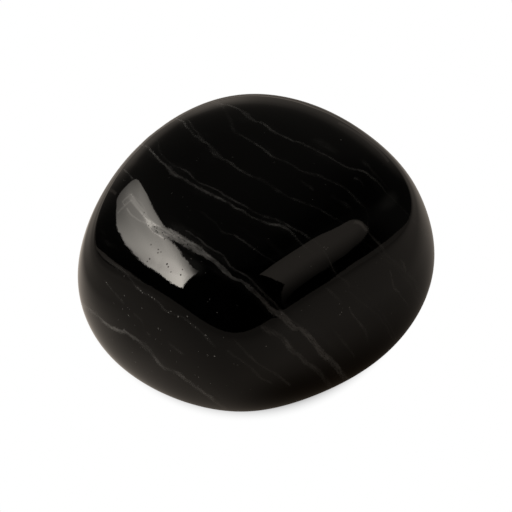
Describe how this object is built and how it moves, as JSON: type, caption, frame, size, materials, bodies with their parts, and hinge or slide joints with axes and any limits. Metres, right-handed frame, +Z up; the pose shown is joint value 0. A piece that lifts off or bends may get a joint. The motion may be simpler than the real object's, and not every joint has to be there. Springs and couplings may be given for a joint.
{
  "type": "onyx stone",
  "caption": "Polished black onyx pebble with a broad, nearly flat top, rounded shoulders, steep sides and thin grey veins.",
  "frame": {"origin": "under the middle of the stone's box, on the surface that the stone lies on", "axes": "+Z up, from the worn base to the broad top; +X along the stone's longest extent, to the right in the picture's view; -Y towards the viewer"},
  "size_m": [0.0392, 0.0362, 0.0251],
  "materials": {
    "onyx": "high polish, black with thin grey veins"
  },
  "bodies": {
    "root": {"onyx_stone": "onyx"}
  },
  "joints": []
}
